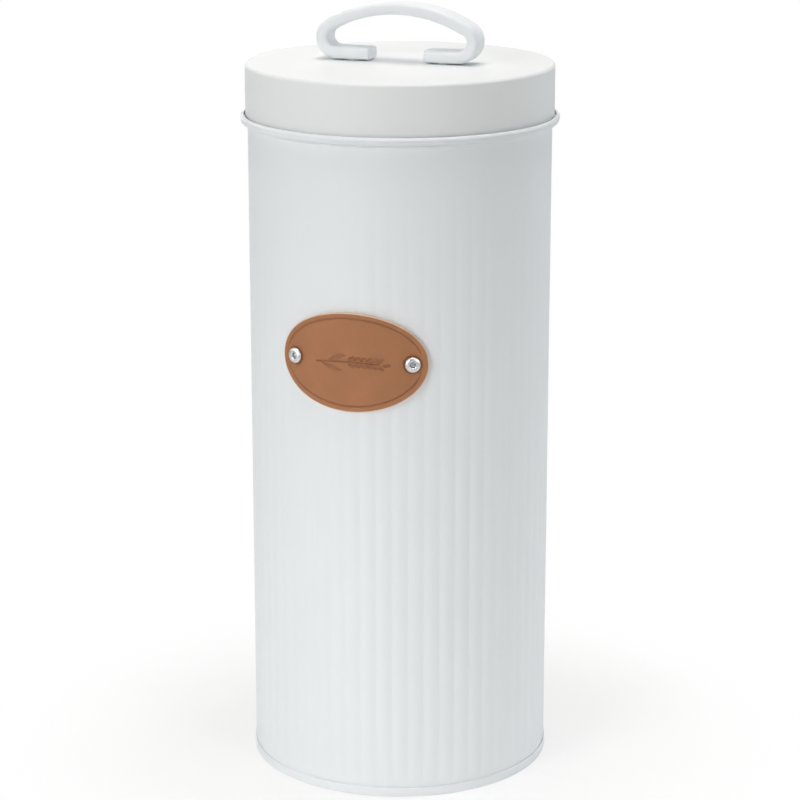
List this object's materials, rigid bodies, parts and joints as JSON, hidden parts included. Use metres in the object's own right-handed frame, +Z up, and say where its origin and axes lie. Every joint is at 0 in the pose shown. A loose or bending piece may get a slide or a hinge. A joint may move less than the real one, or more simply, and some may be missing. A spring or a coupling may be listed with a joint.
{
  "type": "food canister",
  "caption": "Tall round ribbed steel food canister with a push-on lid, a bent flat-bar handle and an oval leather label held by blind rivets.",
  "frame": {"origin": "centre of the base ring, on the surface that the canister stands on", "axes": "+Z up along the canister's axis; the label faces -Y; the handle runs along X"},
  "size_m": [0.1154, 0.1154, 0.2825],
  "materials": {
    "body_coating": "matt white powder coat over sheet steel",
    "lid_coating": "matt white powder coat over sheet steel",
    "handle_coating": "satin cool white powder coat over flat steel bar",
    "label_leather": "smooth tan leather with fine grain",
    "rivet_aluminium": "satin",
    "mandrel_steel": "bright zinc",
    "seal_silicone": "translucent grey silicone",
    "fixing_steel": "bright zinc"
  },
  "bodies": {
    "canister": {"body_wall": "body_coating", "neck_collar": "body_coating", "base_pan": "body_coating", "label": "label_leather", "label_rivet_left": "rivet_aluminium", "label_rivet_right": "rivet_aluminium", "rivet_mandrel_left": "mandrel_steel", "rivet_mandrel_right": "mandrel_steel"},
    "lid": {"lid_shell": "lid_coating", "lid_seal": "seal_silicone", "handle": "handle_coating", "handle_spacer_left": "handle_coating", "handle_spacer_right": "handle_coating", "handle_washer_left": "fixing_steel", "handle_washer_right": "fixing_steel", "handle_screw_left": "fixing_steel", "handle_screw_right": "fixing_steel"}
  },
  "joints": [
    {"name": "lid_lift", "type": "slide", "parent": "canister", "child": "lid", "axis": [0, 0, 1], "range_m": [0, 0.12]}
  ]
}
